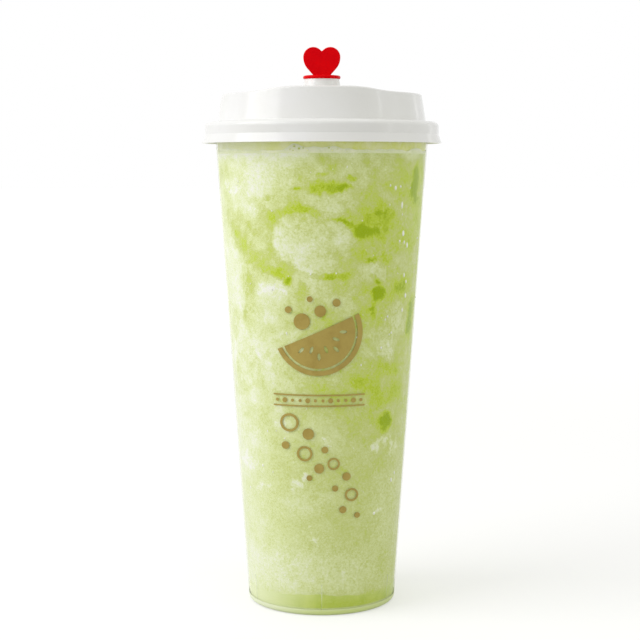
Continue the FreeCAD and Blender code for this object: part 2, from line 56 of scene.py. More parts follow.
unrolledRadius = 37 * mm                # of the wall, where patterns are laid out flat
wallSides = 256                         # sides of what lies all round against the wall
facingFront = (math.radians(90), 0, 0)  # turns a new disc, ring or plane to the front


def innerWall(height):
    # radius of the cup's inner wall: a straight cone through the tops of the juice and the drink
    share = (height - juiceHigh.z) / (drinkHigh.z - juiceHigh.z)
    return juiceHigh.x + share * (drinkHigh.x - juiceHigh.x)


def onWall(turn, height, out=0.0):
    # a point on the inner wall; turn is in degrees from the front, to the right
    angle = math.radians(turn)
    reach = innerWall(height) + out
    return Vector((reach * math.sin(angle), -reach * math.cos(angle), height))


# helpers for modelling by operators

def deselect():
    if bpy.context.object and bpy.context.object.mode != "OBJECT":
        bpy.ops.object.mode_set(mode="OBJECT")
    bpy.ops.object.select_all(action="DESELECT")


def pick(piece):
    deselect()
    piece.select_set(True)
    bpy.context.view_layer.objects.active = piece


def newest(name):
    piece = bpy.context.object
    piece.name = name
    piece.data.name = name
    return piece


def joinPieces(pieces, name):
    deselect()
    for piece in pieces:
        piece.select_set(True)
    bpy.context.view_layer.objects.active = pieces[0]
    bpy.ops.object.join()
    return newest(name)


def placedCopy(piece, matrix):
    # a copy with its own mesh, its place in the mesh
    twin = piece.copy()
    twin.data = piece.data.copy()
    twin.data.transform(matrix)
    bpy.context.collection.objects.link(twin)
    return twin


def smooth(piece, degrees=40):
    pick(piece)
    bpy.ops.object.shade_smooth_by_angle(angle=math.radians(degrees))


def selectFaces(piece, wanted):
    # leaves the piece in edit mode with just the faces for which wanted(face) holds
    pick(piece)
    bpy.ops.object.mode_set(mode="EDIT")
    bpy.ops.mesh.select_mode(type="FACE")
    bpy.ops.mesh.select_all(action="DESELECT")
    bpy.ops.object.mode_set(mode="OBJECT")
    for face in piece.data.polygons:
        face.select = wanted(face)
    bpy.ops.object.mode_set(mode="EDIT")


def applyModifiers(piece):
    pick(piece)
    for modifier in list(piece.modifiers):
        bpy.ops.object.modifier_apply(modifier=modifier.name)


def finishPiece(piece, material, replaced=()):
    piece.data.materials.clear()
    piece.data.materials.append(material)
    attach(piece, "root")
    if replaced:
        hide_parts(*replaced)


def filling(name, low, high, into, ends="NGON"):
    # a frustum along the cup's inside between two heights, which reaches a little into its wall
    deselect()
    bpy.ops.mesh.primitive_cone_add(vertices=wallSides, radius1=innerWall(low) + into,
                                    radius2=innerWall(high) + into, depth=high - low,
                                    end_fill_type=ends, location=(0, 0, (low + high) / 2))
    piece = newest(name)
    bpy.ops.object.transform_apply(location=True, rotation=True, scale=True)
    return piece


def cutAcross(piece, places, normal=(0, 0, 1)):
    # loops across the piece at these places along the normal
    pick(piece)
    bpy.ops.object.mode_set(mode="EDIT")
    for place in places:
        bpy.ops.mesh.select_all(action="SELECT")
        bpy.ops.mesh.bisect(plane_co=[part * place for part in normal], plane_no=normal)
    bpy.ops.object.mode_set(mode="OBJECT")


def insetEnds(piece, step, count):
    # rings on the flat ends, so that they can be waved
    selectFaces(piece, lambda face: abs(face.normal.z) > 0.9)
    for _ in range(count):
        bpy.ops.mesh.inset(thickness=step, use_individual=True)
    bpy.ops.object.mode_set(mode="OBJECT")


def wave(piece, name, weightOf, size, strength, depth=2):
    # moves points up and down by a cloudy pattern, or evenly where size is None
    group = piece.vertex_groups.new(name=name)
    for vertex in piece.data.vertices:
        weight = weightOf(vertex.co)
        if weight > 0.001:
            group.add([vertex.index], min(weight, 1.0), "REPLACE")
    modifier = piece.modifiers.new(name, "DISPLACE")
    modifier.direction = "Z"
    modifier.vertex_group = group.name
    modifier.strength = strength
    modifier.mid_level = 0.0
    if size is not None:
        texture = bpy.data.textures.new(name, "CLOUDS")
        texture.noise_scale = size
        texture.noise_depth = depth
        modifier.texture = texture
        modifier.texture_coords = "LOCAL"
        modifier.mid_level = 0.5
    applyModifiers(piece)


def turnOf(point):
    # degrees from the front, to the right
    return math.degrees(math.atan2(point.x, -point.y))


def hump(value, middle, half):
    # 1 at the middle, 0 from half away, smooth between
    away = min(abs(value - middle) / half, 1.0)
    return 1 - away * away * (3 - 2 * away)


# shader building: a wire is one socket, and sums on wires add Math nodes

class Wire:
    def __init__(self, tree, socket):
        self.tree = tree
        self.socket = socket

    def node(self, kind, settings=None, inputs=None, output=0):
        made = self.tree.nodes.new(kind)
        for key, value in (settings or {}).items():
            if key == "stops":
                stops = made.color_ramp.elements
                stops[0].position, stops[0].color = value[0][0], (*value[0][1], 1)
                stops[1].position, stops[1].color = value[-1][0], (*value[-1][1], 1)
                for position, colour in value[1:-1]:
                    stops.new(position).color = (*colour, 1)
            else:
                setattr(made, key, value)
        for key, value in (inputs or {}).items():
            if isinstance(value, Wire):
                self.tree.links.new(value.socket, made.inputs[key])
            else:
                made.inputs[key].default_value = value
        return Wire(self.tree, made.outputs[output]) if made.outputs else None

    def sum(self, operation, first, second=0.0):
        return self.node("ShaderNodeMath", {"operation": operation}, {0: first, 1: second})

    def __add__(self, other):
        return self.sum("ADD", self, other)

    def __sub__(self, other):
        return self.sum("SUBTRACT", self, other)

    def __mul__(self, other):
        return self.sum("MULTIPLY", self, other)

    def __pow__(self, other):
        return self.sum("POWER", self, other)

    def __rsub__(self, other):
        return self.sum("SUBTRACT", other, self)

    __radd__ = __add__
    __rmul__ = __mul__

    def max(self, other):
        return self.sum("MAXIMUM", self, other)

    def min(self, other):
        return self.sum("MINIMUM", self, other)

    def range(self, low, high, start=0.0, end=1.0):
        # smooth step of a value between low and high
        return self.node("ShaderNodeMapRange", {"interpolation_type": "SMOOTHSTEP"},
                         {"Value": self, "From Min": low, "From Max": high, "To Min": start, "To Max": end})

    def noise(self, scale, detail=3.0, roughness=0.5, output="Fac"):
        return self.node("ShaderNodeTexNoise", None,
                         {"Vector": self, "Scale": scale, "Detail": detail, "Roughness": roughness}, output)

    def cells(self, scale):
        # distance from the nearest of many scattered points
        return self.node("ShaderNodeTexVoronoi", {"feature": "F1"},
                         {"Vector": self, "Scale": scale}, "Distance")

    def warped(self, scale, amount):
        # the same coordinates, pushed about by a coloured noise
        push = self.noise(scale, 3.0, 0.55, "Color")
        middle = (0.5, 0.5, 0.5)
        centred = self.node("ShaderNodeVectorMath", {"operation": "SUBTRACT"}, {0: push, 1: middle})
        shift = self.node("ShaderNodeVectorMath", {"operation": "SCALE"}, {0: centred, "Scale": amount})
        return self.node("ShaderNodeVectorMath", {"operation": "ADD"}, {0: self, 1: shift})

    def turned(self):
        # the same place unrolled: along the wall, up, 0
        angle = self.sum("ARCTAN2", self.axis("X"), 0 - self.axis("Y"))
        return self.node("ShaderNodeCombineXYZ", None, {0: angle * unrolledRadius, 1: self.axis("Z")})

    def ramp(self, stops):
        return self.node("ShaderNodeValToRGB", {"stops": stops}, {0: self})

    def axis(self, name):
        return self.node("ShaderNodeSeparateXYZ", None, {0: self}, name)

    def blend(self, first, second):
        # this value mixes two colours, each a wire or a plain colour
        colours = [value if isinstance(value, Wire) else (*value, 1) for value in (first, second)]
        return self.node("ShaderNodeMix", {"data_type": "RGBA", "clamp_factor": True},
                         {0: self, 6: colours[0], 7: colours[1]}, 2)

    def bump(self, strength, distance):
        # the distance is in millimetres
        return self.node("ShaderNodeBump", None,
                         {"Height": self, "Strength": strength, "Distance": distance * mm})


def newMaterial(name):
    # an empty material and the wire of its Object coordinates
    material = bpy.data.materials.new(name)
    material.use_nodes = True
    tree = material.node_tree
    tree.nodes.clear()
    place = tree.nodes.new("ShaderNodeTexCoord").outputs["Object"]
    return material, Wire(tree, place)


def surface(place, inputs):
    # the Principled shader at the end of a material
    shader = place.node("ShaderNodeBsdfPrincipled", None, inputs)
    place.node("ShaderNodeOutputMaterial", None, {"Surface": shader})


def refinish(name, material):
    # a better finish on a solid of the frame
    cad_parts[name].material_slots[0].material = material


def tone(red, green, blue):
    # a screen colour, 0 to 255, as the linear one that shaders take
    def straight(value):
        value = value / 255
        return value / 12.92 if value <= 0.04045 else ((value + 0.055) / 1.055) ** 2.4
    return straight(red), straight(green), straight(blue)


# the drink's colours, shared by smoothie, froth and juice
drinkTones = {
    "cream": tone(248, 249, 238),
    "pale": tone(240, 246, 210),
    "light": tone(226, 235, 172),
    "middle": tone(209, 219, 137),
    "leaf": tone(199, 219, 66),
    "deep": tone(164, 190, 0),
    "juice": tone(200, 216, 92),
    "juiceDeep": tone(184, 204, 62),
    # a paler juice tone, used only for painted light
    "juicePaintedLight": tone(232, 240, 188),
    "froth": tone(250, 254, 216),
    "film": tone(250, 253, 186),
    "filmDeep": tone(238, 245, 136),
}

# green streaks on the wall: turn in degrees, height, half width and half height in millimetres,
# tilt in degrees, strength
greenStreaks = [
    (-53, 147, 11.0, 4.8, 40, 0.95),
    (-62, 157, 5.0, 3.0, 10, 0.45),
    (-47, 152, 7.0, 4.0, 20, 0.45),
    (-38, 138.5, 9.0, 4.6, 24, 0.75),
    (-27, 135.7, 6.5, 2.4, 20, 0.95),
    (-19.9, 132.8, 2.4, 1.7, 0, 1.3),
    (-48, 129, 4.6, 8.0, 8, 0.65),
    (-52, 120, 2.0, 5.0, 10, 0.55),
    (-11, 128, 2.6, 4.4, 0, 0.65),
    (-33, 157, 8.0, 5.0, 0, 0.50),
    (-30, 164, 3.4, 1.3, -10, 0.55),
    (-13, 158.6, 10.0, 3.4, 6, 0.45),
    (-3.2, 167, 3.6, 2.8, 0, 0.95),
    (-13.1, 167.2, 2.6, 1.1, -8, 0.95),
    (4.8, 167.6, 3.2, 2.6, 0, 0.80),
    (11.7, 168, 3.4, 1.5, -4, 1.1),
    (15.9, 171.8, 3.2, 1.2, -14, 1.0),
    (0.1, 172.8, 2.2, 0.9, -20, 0.60),
    (4.5, 175.6, 2.6, 0.9, -24, 0.40),
    (9.5, 156.4, 5.0, 0.8, 24, 0.85),
    (15.0, 154.4, 2.6, 1.3, 50, 0.90),
    (22.6, 151.2, 3.0, 2.6, 0, 1.35),
    (28.0, 151.0, 2.8, 1.9, -10, 1.1),
    (38, 156.5, 6.4, 4.6, -20, 0.58),
    (40, 167, 5.0, 4.0, -40, 0.30),
    (64.2, 168.6, 3.0, 6.5, 4, 1.15),
    (30, 140.5, 2.8, 1.4, -20, 0.85),
    (38.2, 140, 5.0, 3.6, 40, 0.65),
    (33, 132.5, 2.6, 1.2, 40, 0.80),
    (35.6, 126.6, 3.2, 2.8, -20, 1.45),
    (32, 120.5, 1.3, 2.6, 12, 0.70),
    (50, 128.5, 9.0, 4.4, -20, 0.75),
    (70, 116, 3.6, 6.5, 4, 1.15),
    (4.0, 133.0, 5.0, 0.7, 14, 0.65),
    (29, 108, 2.6, 1.8, 50, 0.45),
    (30, 101, 2.4, 3.0, 40, 0.40),
    (46.5, 76.5, 4.4, 3.4, -14, 1.25),
    (51, 86, 4.2, 7.5, 6, 0.30),
    (51, 96, 5.0, 4.0, 0, 0.32),
    (10, 59, 3.4, 2.4, 0, 0.28),
    (2, 44, 5.0, 2.2, -20, 0.18),
    (-20, 49, 5.0, 3.0, -20, 0.32),
    (-64, 50, 6.0, 3.0, -15, 0.30),
    (14, 33, 5.0, 1.6, 16, 0.18),
    (97, 140, 9.0, 4.0, 32, 0.8),
    (122, 88, 4.0, 9.0, 12, 0.7),
    (148, 152, 10.0, 3.0, -14, 0.9),
    (-104, 96, 3.5, 8.0, -10, 0.8),
    (-132, 146, 8.0, 4.0, 25, 0.9),
    (176, 118, 5.0, 3.4, 20, 0.9),
    (-160, 70, 7.0, 2.8, -24, 0.6),
]

# pale foam against the wall, in the same order, and how soft its edge is
foamPatches = [
    (-12, 148.2, 11.0, 9.5, 0, 0.95, 0.10),
    (2, 146.5, 12.5, 10.5, 0, 0.52, 0.34),
    (-4, 139.5, 11.0, 4.6, 15, 0.85, 0.10),
    (-27, 172, 17.0, 7.0, 0, 0.8, 0.7),
    (6.5, 162.3, 7.0, 4.2, 8, 0.85, 0.16),
    (-52, 136, 4.0, 3.2, 0, 0.2, 0.6),
    (6, 128, 15.0, 5.0, 14, 0.55, 0.5),
    (38, 140, 7.5, 9.0, 0, 0.6, 0.5),
    (46, 116, 9.0, 8.0, 0, 0.7, 0.5),
    (52, 158, 7.0, 8.0, 10, 0.6, 0.6),
    (-8, 100, 18.0, 12.0, 0, 0.5, 0.6),
    (-66, 96, 14.0, 30.0, 0, 0.7, 0.6),
    (-12, 46, 10.0, 7.0, -20, 0.6, 0.5),
    (-6, 18, 46.0, 8.0, 0, 0.8, 0.6),
    (60, 40, 16.0, 24.0, 0, 0.5, 0.6),
    (112, 160, 14.0, 8.0, 20, 0.9, 0.25),
    (160, 96, 15.0, 11.0, -12, 0.9, 0.25),
    (-120, 122, 12.0, 9.0, 8, 0.9, 0.25),
    (-170, 152, 9.0, 6.0, 0, 0.8, 0.3),
]

# frosty flecks caught in the ice, in the same order
creamPatches = [
    (-59, 131, 5.0, 9.0, 4, 0.12, 0.5),
    (-31, 129.5, 9.0, 4.2, 4, 0.80, 0.40),
    (-60, 168, 8.0, 4.0, 10, 0.85, 0.6),
    (-42, 166, 3.0, 1.4, 20, 0.65, 0.6),
    (-30, 160.5, 3.0, 1.8, 30, 0.8, 0.6),
    (-44, 158, 3.6, 5.0, -10, 0.6, 0.7),
    (-4, 139.5, 10.0, 2.2, 12, 0.4, 0.7),
    (31, 168, 3.0, 1.2, 0, 0.4, 0.7),
    (43, 166, 3.0, 3.0, 0, 0.4, 0.7),
    (43, 105, 5.0, 4.0, 20, 1.1, 0.5),
    (-43, 104, 3.0, 2.2, 0, 0.6, 0.6),
    (-10, 88, 6.0, 1.6, 0, 0.5, 0.8),
    (-30, 76.5, 3.4, 2.0, -10, 0.7, 0.6),
    (-2, 70, 5.0, 2.4, 14, 0.6, 0.8),
    (41, 67, 6.0, 3.2, -14, 1.0, 0.5),
    (56, 66, 7.0, 3.4, 10, 0.85, 0.5),
    (-60, 59, 9.0, 5.0, 14, 0.75, 0.5),
    (-46, 50, 6.0, 2.6, -20, 0.6, 0.7),
    (-16, 53, 8.0, 2.4, -34, 0.95, 0.6),
    (60, 52, 3.0, 1.2, -40, 0.8, 0.6),
    (46, 41, 5.0, 1.0, -10, 0.8, 0.6),
    (-6, 33, 9.0, 3.4, 10, 0.6, 0.8),
    (130, 118, 8.0, 4.0, 20, 0.9, 0.4),
    (-96, 148, 6.0, 5.0, 0, 0.8, 0.4),
    (-148, 100, 9.0, 3.0, -15, 0.9, 0.4),
    (176, 60, 8.0, 4.0, 0, 0.8, 0.5),
]

# how the unrolled wall is stretched and leant for the ovals: each takes the nearest of these
stretches = [(1, 0), (2, 0), (4, 0), (0.45, 0), (2.4, 15), (2.4, -15), (2.4, 42), (2.4, -42)]
leanCounts = 40      # degrees of lean that count as much as a stretch by 2.7


def nearestStretch(wide, tall, tilt):
    aspect = math.log(wide / tall)

    def miss(one):
        stretch, lean = one
        return abs(aspect - math.log(stretch)) + abs(tilt - lean) / leanCounts * min(1, abs(aspect))
    return min(stretches, key=miss)


def leanedGrids(place):
    flat = place.turned()
    return {(stretch, lean): flat.node("ShaderNodeMapping", {"vector_type": "TEXTURE"}, {
        "Vector": flat, "Rotation": (0, 0, -math.radians(lean)), "Scale": (stretch, 1, 1)})
        for stretch, lean in stretches}


def strongest(grids, spots, soft=None):
    # the highest of many soft ovals on the wall, each up to its own strength
    mask = None
    for turn, height, wide, tall, tilt, strength, *edge in spots:
        stretch, lean = nearestStretch(wide, tall, tilt)
        grid, slope = grids[stretch, lean], -math.radians(lean)
        along, up = math.radians(turn) * unrolledRadius, height * mm
        centre = ((along * math.cos(slope) + up * math.sin(slope)) / stretch,
                  up * math.cos(slope) - along * math.sin(slope), 0)
        reach = grid.node("ShaderNodeVectorMath", {"operation": "DISTANCE"}, {0: grid, 1: centre}, "Value")
        size = math.sqrt(wide * tall / stretch) * mm
        edge = edge[0] if edge else soft
        one = reach.range(size * (1 + edge), size * (1 - edge), 0.0, strength)
        mask = one if mask is None else mask.max(one)
    return mask


def drinkRamp(value):
    # from frosty white over pale and lime to the deepest green
    tones = [drinkTones[name] for name in ("cream", "pale", "light", "middle", "leaf", "deep")]
    return value.ramp(list(zip((0.0, 0.17, 0.35, 0.55, 0.77, 1.0), tones)))


smoothieLook = {
    "depth": 0.485,          # on the ramp from frosty white, 0, to the deepest green, 1
    "upperDepth": 0.055,     # added higher up
    "broad": 0.18,           # strength of the wide clouds, and what is added to it higher up
    "upperBroad": 0.77,
    "cloud": 0.32,           # and of the small ones
    "upperCloud": 0.53,
    "paintedLightLeft": 0.28,        # painted light: how much paler the left side, towards the lamp, is, and painted shade: how much deeper the right one
    "paintedShadeRight": 0.07,
    "green": 0.64,           # strengths of the streaks, patches and flecks
    "halo": 0.16,
    "foam": 0.20,
    "threads": 0.07,
    "cream": 0.40,
    "flecks": 0.4,
    "topLight": 0.05,        # paler under the froth
    "lace": 0.16,
    "juiceTint": 0.14,       # greener over the settled juice
    "grain": 0.34,
    "fine": 0.30,
    "roughness": 0.34,
    "gloss": 0.1,            # low, so that the pale floor doesn't grey the greens
}


def smoothieMaterial():
    look = smoothieLook
    material, place = newMaterial("smoothieIce")
    flow = place.warped(60, 12 * mm).warped(240, 3.0 * mm)
    frayed = place.warped(150, 5.5 * mm).warped(560, 2.2 * mm)
    height = place.axis("Z")
    behind = place.axis("Y").range(-8 * mm, 12 * mm)
    upper = height.range(50 * mm, 95 * mm)
    ragged = frayed.noise(300, 4.0, 0.65) - 0.5
    broad = flow.noise(36, 4.0, 0.55) - 0.5
    cloud = flow.noise(125, 5.0, 0.62) - 0.5
    grain = place.noise(1050, 2.0, 0.55) - 0.5
    fine = place.noise(2300, 1.0, 0.5) - 0.5
    ice = frayed.cells(420)

    grids = leanedGrids(frayed)
    green = strongest(grids, greenStreaks, 0.95)
    loose = flow.noise(58, 2.0, 0.5).range(0.56, 0.74) * (behind * 0.7 + 0.1) * upper
    green = (green.max(loose) + ragged * 1.1 * (green * 2.5).min(1.0)).range(0.0, 1.5)
    foam = strongest(grids, foamPatches)
    wider = [(turn, height, wide + 3, tall + 3, *rest)
             for turn, height, wide, tall, *rest in foamPatches[:3]]
    halo = (strongest(grids, wider) - foam).max(0.0)
    cream = (strongest(grids, creamPatches) * 0.85 + ragged * 2.9 + grain * 1.5 - 0.36).range(0.0, 0.9)
    flecks = (ragged * 2.0 + grain * 2.2 - cloud * 2.0).range(0.50, 1.05) * 0.28
    vein = frayed.noise(110, 3.0, 0.55) - 0.5
    threads = vein.max(0 - vein).range(0.030, 0.0)
    # painted light on the left side, where the lamp is, and painted shade on the right side, away from it
    pale = place.axis("X").range(2 * mm, -36 * mm) * look["paintedLightLeft"]
    pale = pale - place.axis("X").range(2 * mm, 34 * mm) * look["paintedShadeRight"]

    depth = look["depth"] + upper * look["upperDepth"]
    depth = depth + broad * (look["broad"] + upper * look["upperBroad"])
    depth = depth + cloud * (look["cloud"] + upper * look["upperCloud"]) - pale
    depth = depth + green * look["green"] + halo * look["halo"] - foam * (look["foam"] - green * 0.12)
    lacy = (height + (ragged + grain) * 5 * mm).range(177.6 * mm, 180.4 * mm)
    depth = depth - height.range(168 * mm, 180 * mm) * look["topLight"] - lacy * look["lace"]
    depth = depth + height.range(9.0 * mm, 6.0 * mm) * look["juiceTint"]
    depth = depth + grain * (look["grain"] + foam * 0.25) + fine * look["fine"] + (ice - 0.38) * foam * 0.16
    depth = depth + threads * look["threads"] - cream * (look["cream"] - foam * 0.1)
    depth = depth - flecks * (1 - green) * look["flecks"]
    relief = grain * 0.7 + ragged * 0.6
    surface(place, {"Base Color": drinkRamp(depth), "Roughness": look["roughness"], "IOR": 1.4,
                    "Specular IOR Level": look["gloss"], "Normal": relief.bump(0.12, 0.2)})
    return material


def juiceMaterial():
    material, place = newMaterial("settledJuice")
    swirled = place.warped(110, 5 * mm)
    streaks = swirled.noise(150, 3.0, 0.6).range(0.35, 0.68)
    grain = place.noise(900, 3.0, 0.6)
    near = place.axis("Z").range(4.2 * mm, 8.5 * mm)
    base = streaks.blend(drinkTones["juiceDeep"], drinkTones["juice"])
    # painted light: the juice paler on its left side, towards the lamp
    juiceLitLeft = place.axis("X").range(4 * mm, -28 * mm)
    base = (near * 0.15 + grain.range(0.56, 0.80) * 0.35).blend(base, drinkTones["light"])
    base = juiceLitLeft.blend(base, drinkTones["juicePaintedLight"])
    # painted light: paler just above the foot, to cancel the shade that the opaque foot casts on the juice
    base = (place.axis("Z").range(3.4 * mm, 2.7 * mm) * 0.75).blend(base, drinkTones["juicePaintedLight"])
    surface(place, {"Base Color": base, "Roughness": 0.3, "Normal": grain.bump(0.1, 0.15)})
    return material


def frothMaterial():
    material, place = newMaterial("paleFroth")
    frayed = place.warped(300, 2.4 * mm)
    cloud = frayed.noise(190, 4.0, 0.6).range(0.34, 0.68)
    cells = place.cells(900)
    foam = cells.range(0.10, 0.45)
    low = (place.axis("Z") + (cloud - 0.5) * 1.6 * mm).range(182.2 * mm, 180.8 * mm)
    base = cloud.blend(drinkTones["pale"], drinkTones["froth"])
    base = (foam * 0.2).blend(base, drinkTones["cream"])
    base = (low * 0.5).blend(base, drinkTones["light"])
    surface(place, {"Base Color": base, "Roughness": 0.45,
                    "Normal": (cells * 0.6 + cloud * 0.4).bump(0.3, 0.3)})
    return material


def filmMaterial():
    material, place = newMaterial("wallFilm")
    streaks = place.warped(240, 3 * mm).noise(260, 4.0, 0.62).range(0.34, 0.70)
    fine = place.noise(1100, 3.0, 0.6)
    base = streaks.blend(drinkTones["filmDeep"], drinkTones["film"])
    clots = place.warped(150, 5 * mm).noise(130, 3.0, 0.6).range(0.46, 0.62)
    # painted light: the film paler towards the left side, where the lamp is
    paler = place.axis("X").range(-8 * mm, -34 * mm) * 0.7
    base = (clots * 0.2 + paler + fine.range(0.60, 0.78) * 0.3).min(1.0).blend(base, drinkTones["froth"])
    surface(place, {"Base Color": base, "Roughness": 0.4, "Normal": fine.bump(0.2, 0.2)})
    return material


def bubbleMaterial(name, colour, deeper):
    material, place = newMaterial(name)
    mottle = place.noise(1400, 2.0, 0.5).range(0.35, 0.70)
    surface(place, {"Base Color": mottle.blend(deeper, colour), "Roughness": 0.35,
                    "Normal": mottle.bump(0.1, 0.1)})
    return material


# the drink: smoothie, the juice under it and the froth on it
drinkShape = {
    "intoWall": 0.25 * mm,      # how far each filling reaches into the cup's wall
    "rings": 60,                # loops up the smoothie
    "endStep": 2.4 * mm,        # between the rings on the flat ends
    "endRings": 10,
    "juiceBand": 3.4 * mm,      # how far from the juice's top the waves reach
    "juiceWave": 2.6 * mm,      # height and size of the slow waves where juice and smoothie meet
    "waveSize": 16 * mm,
    "juiceRipple": 1.2 * mm,    # and of the small ones
    "rippleSize": 4.5 * mm,
    "frontRise": 1.4 * mm,      # how much higher the juice stands at the front
}


def waveJuiceLine(piece):
    # the same waves on both pieces, so that they meet without a gap
    line = juiceHigh.z

    def near(point):
        return hump(point.z, line, drinkShape["juiceBand"])

    def front(point):
        return near(point) * max(0.0, -point.y / juiceHigh.x)
    # the later waves keep the weights that the level surface had
    marked = {vertex.index: (near(vertex.co), front(vertex.co)) for vertex in piece.data.vertices}
    wave(piece, "slowWave", near, drinkShape["waveSize"], drinkShape["juiceWave"])
    for name, column, size, strength in (("ripple", 0, drinkShape["rippleSize"], drinkShape["juiceRipple"]),
                                         ("frontRise", 1, None, drinkShape["frontRise"])):
        weights = {tuple(vertex.co): marked[vertex.index][column] for vertex in piece.data.vertices}
        wave(piece, name, lambda point: weights[tuple(point)], size, strength)


def makeJuice():
    piece = filling("juice_layer", juiceLow.z, juiceHigh.z, drinkShape["intoWall"])
    insetEnds(piece, drinkShape["endStep"], drinkShape["endRings"])
    waveJuiceLine(piece)
    smooth(piece)
    finishPiece(piece, juiceMaterial(), ["settled_juice"])


def makeSmoothie():
    piece = filling("smoothie_body", juiceHigh.z, drinkHigh.z, drinkShape["intoWall"])
    insetEnds(piece, drinkShape["endStep"], drinkShape["endRings"])
    low, high = juiceHigh.z, drinkHigh.z
    close = [low + step * mm for step in (0.8, 1.6, 2.4, 3.4)]      # where the waves are
    start = low + 5 * mm
    cutAcross(piece, close + [start + (high - start) * ring / drinkShape["rings"]
                              for ring in range(drinkShape["rings"])])
    waveJuiceLine(piece)
    smooth(piece)
    finishPiece(piece, smoothieMaterial(), ["smoothie"])


frothShape = {
    "edgeDrop": 1.0 * mm,      # how far its flat edge stands under the highest foam
    "edgeWave": 0.7 * mm,
    "topWave": 1.1 * mm,
    "intoWall": 0.36 * mm,
    "endStep": 1.0 * mm,       # between the rings on the flat ends
    "endRings": 40,
    "edgeWidth": 5 * mm,       # how far in from the wall the peaks reach
    # turn and half width in degrees, and rise in millimetres
    "peaks": [(-14, 7, 2.3), (-4, 9, 1.1), (5, 7, 1.5), (14, 8, 0.5), (-62, 16, 0.7), (38, 12, 0.4),
              (62, 10, 0.8), (120, 20, 1.4), (-150, 18, 1.6), (165, 9, 1.0)],
}


def makeFroth():
    low, high = frothLow.z, frothHigh.z - frothShape["edgeDrop"]
    piece = filling("froth_layer", low, high, frothShape["intoWall"])
    insetEnds(piece, frothShape["endStep"], frothShape["endRings"])
    top = high - 0.9 * mm

    def onTop(point):
        return 1.0 if point.z > top else 0.0

    def atEdge(point):
        fromWall = innerWall(high) - math.hypot(point.x, point.y)
        return onTop(point) * max(0.0, 1 - fromWall / frothShape["edgeWidth"])
    for turn, half, rise in frothShape["peaks"]:
        def peak(point, turn=turn, half=half):
            away = (turnOf(point) - turn + 180) % 360 - 180
            return atEdge(point) * hump(away, 0, half)
        wave(piece, "peak", peak, None, rise * mm)
    wave(piece, "edgeWave", atEdge, 5 * mm, frothShape["edgeWave"])
    wave(piece, "topWave", onTop, 3.5 * mm, frothShape["topWave"], 3)
    smooth(piece, 70)
    finishPiece(piece, frothMaterial(), ["froth"])


filmShape = {
    "low": -2.0 * mm,          # from the froth's top at the wall
    "high": 6.6 * mm,
    "intoWall": 0.08 * mm,
    "thick": 0.4 * mm,
    "rings": 8,
    "ragged": 3.0 * mm,        # height and size of the ragged edge, and the share of it that stays even
    "raggedSize": 7 * mm,
    "even": 0.3,
}


def makeFilm():
    # what the shaken drink left on the wall above the froth
    low, high = frothHigh.z + filmShape["low"], frothHigh.z + filmShape["high"]
    rings = filmShape["rings"]
    piece = filling("wall_film", low, high, filmShape["intoWall"], "NOTHING")
    cutAcross(piece, [low + (high - low) * ring / rings for ring in range(1, rings)])
    wave(piece, "ragged", lambda point: max(0.0, (point.z - low) / (high - low) - filmShape["even"]),
         filmShape["raggedSize"], filmShape["ragged"], 3)
    solid = piece.modifiers.new("thickness", "SOLIDIFY")
    solid.thickness = filmShape["thick"]
    solid.offset = -1
    applyModifiers(piece)
    smooth(piece)
    finishPiece(piece, filmMaterial())


bubbleShape = {
    "seed": 11,
    "wallCount": 150,
    "wallSizes": (0.16, 0.46),     # radius in millimetres
    "wallHeights": (20, 178),
    "wallDepth": 0.32,             # how flat they lie on the wall
    "topCount": 300,
    "topSizes": (0.35, 1.5),
    "topMargin": 1.8 * mm,         # free of domes, at the wall
    # turn in degrees, height and radius in millimetres
    "listed": [(50.2, 160.9, 0.9), (57.9, 145.3, 0.8), (56.7, 133.6, 0.7), (57, 119.9, 0.7), (43, 118, 0.5),
               (53, 150, 0.8), (54.5, 146.5, 0.6), (50, 147, 0.5), (47, 111.5, 0.5), (39, 106, 0.6),
               (44, 167.5, 0.6), (40, 168.5, 0.4), (48, 168, 0.5), (59.5, 131, 0.6), (60, 125.5, 0.7),
               (-52, 170, 0.4), (-30, 129, 0.4), (-44, 59, 0.5), (57, 52, 0.6), (61, 54.5, 0.5),
               (40, 40, 0.6)],
    "open": [(-14.4, 183.2, 0.55), (-11.8, 182.3, 0.6), (-9.6, 182.5, 0.45), (-7.4, 181.6, 0.6),
             (3.6, 182.6, 0.5), (5.4, 181.6, 0.6), (8.2, 182.2, 0.4), (-16.6, 182.0, 0.4), (13, 181.2, 0.6),
             (-15, 181.6, 0.4), (9.2, 180.9, 0.4), (24, 181.4, 0.5), (-31, 181.3, 0.5), (37, 181.5, 0.45),
             (-46, 181.2, 0.5), (52, 181.2, 0.4)],
}


def onWallMatrix(turn, height, out, wide, deep, tall):
    # moves and sizes what was modelled at the origin and faces the front; the height is in millimetres
    place = onWall(turn, height * mm, out)
    return (Matrix.Translation(place) @ Matrix.Rotation(math.radians(turn), 4, "Z")
            @ Matrix.Diagonal((wide, deep, tall, 1)))


def beadMaster():
    # a small flattened bead, 1 mm in radius, its back a little dished
    deselect()
    bpy.ops.mesh.primitive_ico_sphere_add(subdivisions=2, radius=1 * mm)
    bead = newest("bead")
    selectFaces(bead, lambda face: face.center.y > 0.45 * mm)
    bpy.ops.transform.translate(value=(0, -0.35 * mm, 0))
    bpy.ops.object.mode_set(mode="OBJECT")
    smooth(bead, 80)
    return bead


